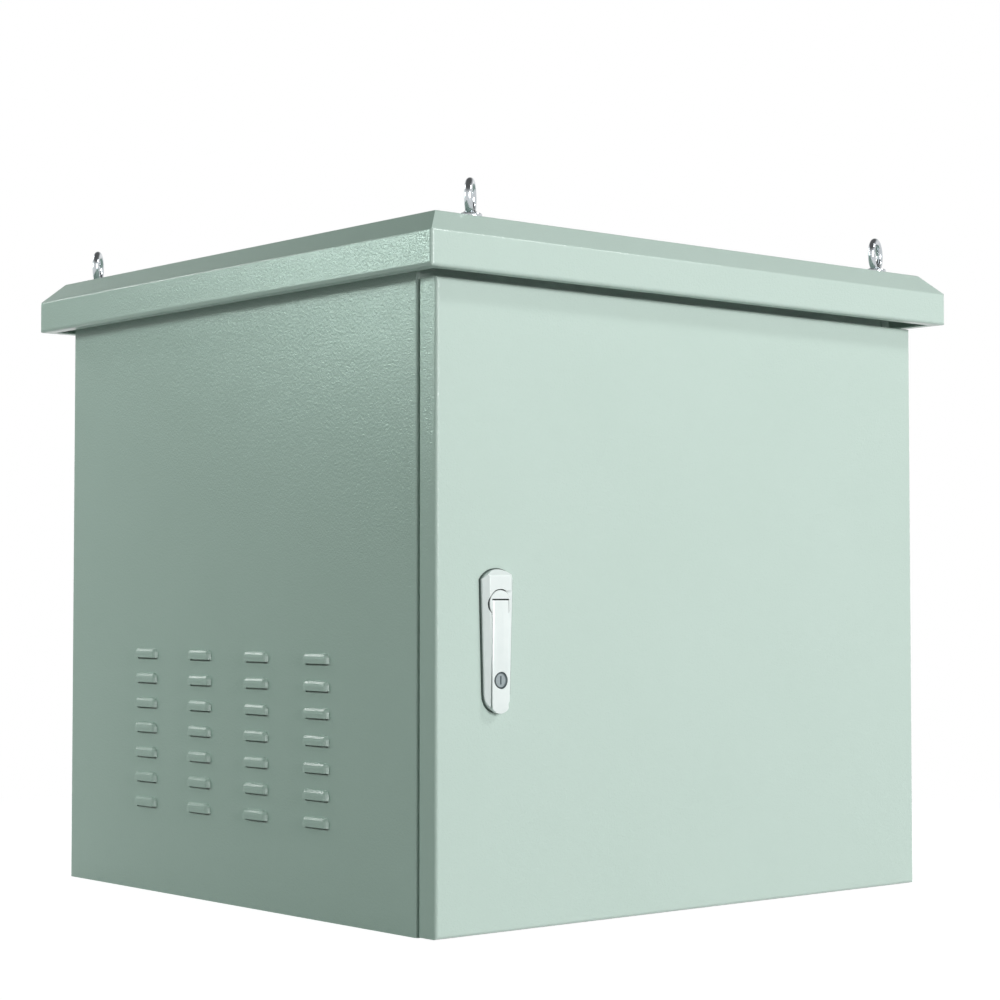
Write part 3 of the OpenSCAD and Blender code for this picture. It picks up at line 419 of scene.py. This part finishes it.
keep(bright_zinc)
keep(zinc_fasteners)

# %% [markdown]
# ## Galvanised sheet
# The rails, the braces, the filter frames and the gland plate are sheet dipped in zinc, which freezes in flat
# crystals of one to two centimetres, each with its own gloss. Noise would give clouds without edges, so
# random cells are used: each cell has one random colour, and its red channel serves as the crystal's shade.


# %% Galvanised sheet
def galvanised_sheet():
    sheet = Finish("galvanised_sheet")
    crystal = sheet.cells(size_mm=14.0, out="Color")
    shade = sheet.node("ShaderNodeSeparateColor", links={"Color": crystal}, out="Red")
    grain = sheet.noise(size_mm=1.2, detail=3.0)
    return sheet.surface(
        Base_Color=sheet.mix(shade, linear(164, 170, 174), linear(202, 207, 210)),
        Metallic=1.0,
        Roughness=shade * 0.18 + grain * 0.10 + 0.30,
        Normal=sheet.bump(grain, depth_mm=0.015),
    )


keep(galvanised_sheet)

# %% [markdown]
# ## Steel of the lock
# The key plug is bright, and the sleeve round it is given a painted shade, the shade of the recess that
# the key sits in. They could be two materials, but the record gives both the same steel, so one finish
# darkens with the distance from the key's axis. The place of that axis comes from the box of the plug.


# %% Lock steel
def middle_and_radius(node):
    """Where the axis of a round piece crosses the XZ plane, and the piece's radius."""
    low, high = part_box(node)
    return (low.x + high.x) / 2, (low.z + high.z) / 2, (high.x - low.x) / 2


SLEEVE_STEP = 0.2 * MM


def satin_steel():
    steel = Finish("satin_steel")
    grain = steel.noise(size_mm=0.5, detail=3.0)
    x, z, radius = middle_and_radius("key_plug")
    sleeve = steel.ramp(steel.from_axis(x, z), radius, radius + SLEEVE_STEP)
    bright = steel.mix(grain, linear(128, 138, 141), linear(168, 178, 180))
    # Painted shade: the sleeve round the plug is darkened to stand in for the shade of the recess round the
    # key.
    painted_sleeve_shade = steel.mix(grain, linear(58, 66, 68), linear(92, 101, 103))
    return steel.surface(
        Base_Color=steel.mix(sleeve, bright, painted_sleeve_shade),
        Metallic=1.0,
        Roughness=grain * 0.2 + 0.28,
        Normal=steel.bump(grain, depth_mm=0.01),
    )


keep(satin_steel)

# %% [markdown]
# ## Paint of the lock
# The lock is die cast and painted white with a silky gloss. The well in which its disc turns is given a
# painted shade, so thin dark lines show round the disc and above the lever, where the shade of the gaps
# falls. A narrow gap alone would stay pale, because white paint passes light on, so the colour goes dark
# with depth, inside a circle round the lock's axis.


# %% Lock paint
WELL_ROOM = 0.7 * MM
WELL_EDGE = 0.1 * MM
GAP_SHADE_FROM = 0.3 * MM
GAP_SHADE_TO = 0.7 * MM


def white_satin():
    paint = Finish("white_satin")
    cloud = paint.noise(size_mm=9.0)
    peel = paint.noise(size_mm=1.1, detail=1.0)
    white = paint.mix(cloud, linear(232, 238, 238), linear(240, 244, 244))
    x, z, radius = middle_and_radius("lock_disc")
    well = radius + WELL_ROOM
    inside = 1.0 - paint.ramp(paint.from_axis(x, z), well, well + WELL_EDGE)
    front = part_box("lock_disc")[0].y
    gap_shade = paint.ramp(paint.along("Y"), front + GAP_SHADE_FROM, front + GAP_SHADE_TO)
    return paint.surface(
        # Painted shade: the well round the disc darkens with depth, standing in for the shade in its gaps.
        Base_Color=paint.mix(gap_shade * inside, white, linear(46, 52, 53)),
        Roughness=cloud * 0.08 + 0.26,
        Normal=paint.bump(peel, depth_mm=0.010),
        Coat_Weight=0.25,
        Coat_Roughness=0.15,
    )


keep(white_satin)

# %% [markdown]
# ## Rubber, foam and fleece
# The rim under the lock and the grommets are moulded rubber, with a pale bloom in patches. The door gasket
# is foam with open pores, which random cells show better than noise. The filters are fleece: fibres in
# every direction, with no gloss, made by a noise with much fine detail.


# %% Rubber, foam and fleece
def black_rubber():
    rubber = Finish("black_rubber")
    grain = rubber.noise(size_mm=0.6)
    bloom = rubber.noise(size_mm=18.0, detail=3.0)
    return rubber.surface(
        Base_Color=rubber.mix(bloom, linear(50, 62, 58), linear(70, 84, 79)),
        Roughness=bloom * 0.15 + 0.55,
        Normal=rubber.bump(grain, depth_mm=0.03),
    )


def foam_seal():
    foam = Finish("foam_seal")
    pores = foam.cells(size_mm=0.8)
    swell = foam.noise(size_mm=12.0)
    return foam.surface(
        Base_Color=foam.mix(pores, linear(44, 46, 48), linear(82, 85, 88)),
        Roughness=swell * 0.1 + 0.85,
        Normal=foam.bump(pores + swell * 0.6, depth_mm=0.25),
    )


def filter_mat():
    fleece = Finish("filter_mat")
    fibre = fleece.noise(size_mm=0.5, detail=6.0, roughness=0.75)
    clump = fleece.noise(size_mm=7.0, detail=4.0)
    return fleece.surface(
        Base_Color=fleece.mix(fibre * 0.6 + clump * 0.4, linear(184, 188, 184), linear(240, 241, 238)),
        Roughness=fibre * 0.1 + 0.88,
        Normal=fleece.bump(fibre + clump, depth_mm=0.5),
    )


keep(black_rubber)
keep(foam_seal)
keep(filter_mat)

# %% [markdown]
# ## Dressing the solids
# Materials could be given to the solids one by one. But every solid names its finish in the record that
# came with it, so one loop dresses them all, and no solid can be forgotten.

# %% Finishes on the solids
slots = {part["node"]: part["material_slot"] for part in frame["record"]["subparts"]}
for name, solid in frame["nodes"].items():
    solid.data.materials.clear()
    solid.data.materials.append(finishes[slots[name]])
print("finishes:", len(finishes), "on", len(slots), "solids")

# %% [markdown]
# ## Keeping new pieces in order
# A new piece rides on the body of the solid that it stands for and takes over its finish. Faces are shaded
# smooth, except across edges sharper than a given angle. Turned pieces share a helper: an outline could be
# modelled as rings of points, but the spin operator makes the same rings from one outline.


# %% Pieces that stand for a solid
SMOOTH_ANGLE = math.radians(35)
POLE_MERGE = 1e-7

bodies = frame["record"]["behaviour"]["bodies"]
body_of = {node: body for body, nodes in bodies.items() for node in nodes}


def stand_for(bm, node, name):
    """Turns a bmesh into the piece that is shown in place of a solid."""
    bmesh.ops.recalc_face_normals(bm, faces=bm.faces)
    mesh = bpy.data.meshes.new(name)
    bm.to_mesh(mesh)
    bm.free()
    mesh.shade_smooth()
    mesh.set_sharp_from_angle(angle=SMOOTH_ANGLE)
    mesh.materials.append(finishes[slots[node]])
    piece = bpy.data.objects.new(name, mesh)
    bpy.context.scene.collection.objects.link(piece)
    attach(piece, body_of[node])
    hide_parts(node)
    print(name, "faces:", len(mesh.polygons))
    return piece


def only(kind, geometry):
    """The vertices or the edges in what an operator returns."""
    return [part for part in geometry if isinstance(part, kind)]


def spun_profile(bm, points, steps):
    """A turned shape: an outline in the XZ plane, spun once round the Z axis."""
    verts = [bm.verts.new((x, 0.0, z)) for x, z in points]
    edges = [bm.edges.new(pair) for pair in zip(verts, verts[1:])]
    bmesh.ops.spin(
        bm, geom=verts + edges, cent=(0, 0, 0), axis=(0, 0, 1), angle=2 * math.pi, steps=steps, use_merge=True
    )
    bmesh.ops.remove_doubles(bm, verts=bm.verts, dist=POLE_MERGE)


print("moving bodies:", len(bodies))

# %% [markdown]
# ## Lifting eyes
# An eye bolt is forged: a round ring grows out of a collar, with a hollow fillet between them. A ready-made
# torus would do for the ring, but bmesh has none, so a circle is spun about the ring's axis. The collar and
# shank are one outline spun about the bolt's axis. Each eye stands turned as it happened to be screwed
# down.

# %% Lifting eyes
RING_OUTER = 17.0 * MM
RING_INNER = 10.0 * MM
RING_SIDES = 28
RING_STEPS = 72
COLLAR_STEPS = 56
COLLAR_RADIUS = 10.0
COLLAR_EDGE = 0.4
EYE_SHANK = 4.0 * MM
EYE_TURNS = {"front_left": 43, "front_right": 25, "rear_left": 50, "rear_right": 40}


def eye_outline(shank_end):
    """The collar and shank from the neck down, as radius and height above the roof."""
    fillet = [(0.0, 7.6), (3.6, 7.4), (4.6, 6.0), (6.2, 4.5), (8.6, 3.6), (9.7, 3.1)]
    rim = [(COLLAR_RADIUS, 2.5), (COLLAR_RADIUS, COLLAR_EDGE), (COLLAR_RADIUS - COLLAR_EDGE, 0.0)]
    points = [(r * MM, z * MM) for r, z in fillet + rim]
    return points + [(EYE_SHANK, 0.0), (EYE_SHANK, shank_end), (0.0, shank_end)]


def lifting_eye(corner):
    node = corner + "_lifting_eye"
    low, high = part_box(node)
    bm = bmesh.new()
    wire = (RING_OUTER - RING_INNER) / 2
    centre = Matrix.Translation((RING_INNER + wire, 0, 0))
    circle = bmesh.ops.create_circle(bm, segments=RING_SIDES, radius=wire, matrix=centre)["verts"]
    edges = list({edge for vert in circle for edge in vert.link_edges})
    bmesh.ops.spin(
        bm, geom=circle + edges, cent=(0, 0, 0), axis=(0, 1, 0), angle=2 * math.pi, steps=RING_STEPS,
        use_merge=True,
    )
    bmesh.ops.translate(bm, verts=bm.verts, vec=(0, 0, RING_OUTER))
    spun_profile(bm, eye_outline(low.z - ROOF_TOP), COLLAR_STEPS)
    turn = Matrix.Rotation(math.radians(EYE_TURNS[corner]), 3, "Z")
    bmesh.ops.rotate(bm, verts=bm.verts, matrix=turn)
    middle = (low + high) / 2
    bmesh.ops.translate(bm, verts=bm.verts, vec=(middle.x, middle.y, ROOF_TOP))
    return stand_for(bm, node, "forged_" + node)


for corner in EYE_TURNS:
    lifting_eye(corner)

# %% [markdown]
# ## Lock pieces with broken edges
# Die castings have no knife edges. The lever and the disc could be modelled again with round edges, but
# their solids already have the right form. So a copy of the solid's mesh is merged, its flat triangles are
# joined into larger faces, and every sharp edge gets a narrow round bevel, which catches the light as the
# real one does.

# %% Lock pieces
LEVER_EDGE = 0.45 * MM
DISC_EDGE = 0.3 * MM
EDGE_STEPS = 3
SHARP_ANGLE = math.radians(40)
FLAT_ANGLE = math.radians(0.5)
CORNER_MERGE = 0.002 * MM


def softened(node, width, name):
    """A merged copy of a solid with narrow round edges."""
    bm = bmesh.new()
    bm.from_mesh(frame["nodes"][node].data)
    bmesh.ops.remove_doubles(bm, verts=bm.verts, dist=CORNER_MERGE)
    bmesh.ops.dissolve_limit(bm, angle_limit=FLAT_ANGLE, verts=bm.verts, edges=bm.edges)
    joined = [edge for edge in bm.edges if len(edge.link_faces) == 2]
    sharp = [edge for edge in joined if edge.calc_face_angle() > SHARP_ANGLE]
    bmesh.ops.bevel(
        bm, geom=sharp, offset=width, offset_type="OFFSET", segments=EDGE_STEPS, profile=0.5,
        affect="EDGES", material=-1, clamp_overlap=True,
    )
    return stand_for(bm, node, name)


softened("handle_lever", LEVER_EDGE, "cast_lever")
softened("lock_disc", DISC_EDGE, "cast_disc")

# %% [markdown]
# ## Door gasket
# The seal is foam, poured as one bead round the inside of the door. A bead has a flat foot and a round
# back. It could be a flat ring with bevelled edges, but an outline gives the round back its exact form. So
# the outline of the bead is drawn once, then pulled along each side and spun round each corner, and its two
# ends are merged.

# %% Door gasket
BEAD_CORNER = 9.0 * MM
BEAD_FOOT = 2.0 * MM
BEAD_WIDTH = 10.0 * MM
BEAD_STEPS = 14
BEAD_CORNER_STEPS = 8
BEAD_MERGE = 0.01 * MM


def bead_outline(bm, start, height):
    """The closed outline of the bead, across the first side of the door."""
    half = BEAD_WIDTH / 2
    rise = height - BEAD_FOOT
    arc = [math.pi * k / BEAD_STEPS for k in range(BEAD_STEPS + 1)]
    back = [(half * math.cos(a), BEAD_FOOT + rise * math.sin(a)) for a in arc]
    points = [(half, 0.0)] + back + [(-half, 0.0)]
    verts = [bm.verts.new(start + Vector((0.0, y, z))) for z, y in points]
    return [bm.edges.new(pair) for pair in zip(verts, verts[1:] + verts[:1])]


def foam_bead():
    low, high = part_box("door_gasket")
    side = BEAD_WIDTH + 2 * BEAD_CORNER
    runs = (high.x - low.x - side, high.z - low.z - side)
    headings = [Vector((1, 0, 0)), Vector((0, 0, 1)), Vector((-1, 0, 0)), Vector((0, 0, -1))]
    point = Vector((low.x + side / 2, low.y, low.z + BEAD_WIDTH / 2))
    bm = bmesh.new()
    outline = bead_outline(bm, point, high.y - low.y)
    for turn, heading in enumerate(headings):
        run = heading * runs[turn % 2]
        pulled = bmesh.ops.extrude_edge_only(bm, edges=outline)["geom"]
        verts = only(bmesh.types.BMVert, pulled)
        bmesh.ops.translate(bm, verts=verts, vec=run)
        ends = set(verts)
        edges = [edge for edge in only(bmesh.types.BMEdge, pulled) if ends.issuperset(edge.verts)]
        point += run
        centre = point + headings[(turn + 1) % 4] * BEAD_CORNER
        spun = bmesh.ops.spin(
            bm, geom=verts + edges, cent=centre, axis=(0, -1, 0), angle=math.pi / 2,
            steps=BEAD_CORNER_STEPS, use_merge=False,
        )
        outline = only(bmesh.types.BMEdge, spun["geom_last"])
        point = centre + heading * BEAD_CORNER
    bmesh.ops.remove_doubles(bm, verts=bm.verts, dist=BEAD_MERGE)
    return stand_for(bm, "door_gasket", "foam_bead")


foam_bead()

# %% [markdown]
# ## Filter mats
# The fleece swells a little between the bars of its frame. A cloth simulation could swell it, but the mat
# hardly moves. So a box is cut into a fine grid and its inner face is pushed out in shallow waves, with
# less near the rim, where the frame holds it.

# %% Filter mats
FLEECE_CUTS = 44
FLEECE_SWELL = 0.9 * MM
FLEECE_RIM = 12
WAVES_ACROSS = 23
WAVES_UP = 17
WAVE_SLANT = 3
ON_FACE = 0.01 * MM


def fleece(side):
    node = side + "_filter_mat"
    low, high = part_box(node)
    size = high - low
    bm = bmesh.new()
    place = Matrix.Translation((low + high) / 2) @ Matrix.Diagonal((size.x, size.y, size.z, 1.0))
    bmesh.ops.create_cube(bm, size=1.0, matrix=place)
    long_edges = [e for e in bm.edges if e.calc_length() > size.x * 2]
    bmesh.ops.subdivide_edges(bm, edges=long_edges, cuts=FLEECE_CUTS, use_grid_fill=True)
    inward, face_x = (1, high.x) if side == "left" else (-1, low.x)
    for vert in bm.verts:
        if abs(vert.co.x - face_x) < ON_FACE:
            across = (vert.co.y - low.y) / size.y
            up = (vert.co.z - low.z) / size.z
            rim = min(1.0, FLEECE_RIM * min(across, 1 - across, up, 1 - up))
            ripple = math.sin(WAVES_ACROSS * across + WAVE_SLANT * up) * math.cos(WAVES_UP * up)
            vert.co.x += inward * rim * (0.5 + 0.5 * ripple) * FLEECE_SWELL
    return stand_for(bm, node, side + "_fleece")


for side in ("left", "right"):
    fleece(side)

# %% [markdown]
# ## Cable grommets
# A blind grommet is a rubber cup in steps: the fitter cuts it off at the step that suits the cable. The
# steps could be stacked cylinders, but a moulded cup is one skin. So one stepped outline is spun, and
# copies of it stand in each hole of the gland plate.

# %% Cable grommets
GROMMET_COUNT = 4
CUP_SIDES = 40
CUP_STEPS = 3
FLANGE_REACH = 4.3 * MM
FLANGE_THICK = 2.5 * MM
FLANGE_EDGE = 0.6 * MM
FOOT_EDGE = 0.4 * MM
STEP_EDGE = 0.3 * MM
STEP_SHARE = 0.2
WALL_SHARE = 0.04
EDGE_SHARE = 0.02
LEDGE_SHARE = 0.06


def cup_outline(radius, plate_low, plate_high, height):
    """Radius and height of one cup, from the middle of its foot to the middle of its top."""
    neck = radius - FLANGE_REACH
    flange = plate_high + FLANGE_THICK
    points = [
        (0.0, 0.0), (radius - FOOT_EDGE, 0.0), (radius, FOOT_EDGE), (radius, plate_low),
        (neck, plate_low), (neck, plate_high), (radius, plate_high), (radius, flange - FLANGE_EDGE),
        (radius - FLANGE_EDGE, flange), (neck, flange),
    ]
    for step in range(1, CUP_STEPS + 1):
        share = 1.0 - STEP_SHARE * step
        z = flange + (height - flange) * step / CUP_STEPS
        points += [
            (neck * (share + WALL_SHARE), z - STEP_EDGE), (neck * (share + EDGE_SHARE), z),
            (neck * (share - LEDGE_SHARE), z),
        ]
    return points + [(0.0, height)]


def stepped_cups():
    low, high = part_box("cable_grommets")
    plate_low, plate_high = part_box("gland_plate")
    radius = (high.y - low.y) / 2
    pitch = (high.x - low.x - 2 * radius) / (GROMMET_COUNT - 1)
    bm = bmesh.new()
    outline = cup_outline(radius, plate_low.z - low.z, plate_high.z - low.z, high.z - low.z)
    spun_profile(bm, outline, CUP_SIDES)
    bmesh.ops.translate(bm, verts=bm.verts, vec=(low.x + radius, (low.y + high.y) / 2, low.z))
    first = bm.verts[:] + bm.edges[:] + bm.faces[:]
    for place in range(1, GROMMET_COUNT):
        copy = bmesh.ops.duplicate(bm, geom=first)["geom"]
        bmesh.ops.translate(bm, verts=only(bmesh.types.BMVert, copy), vec=(place * pitch, 0, 0))
    return stand_for(bm, "cable_grommets", "stepped_grommets")


stepped_cups()
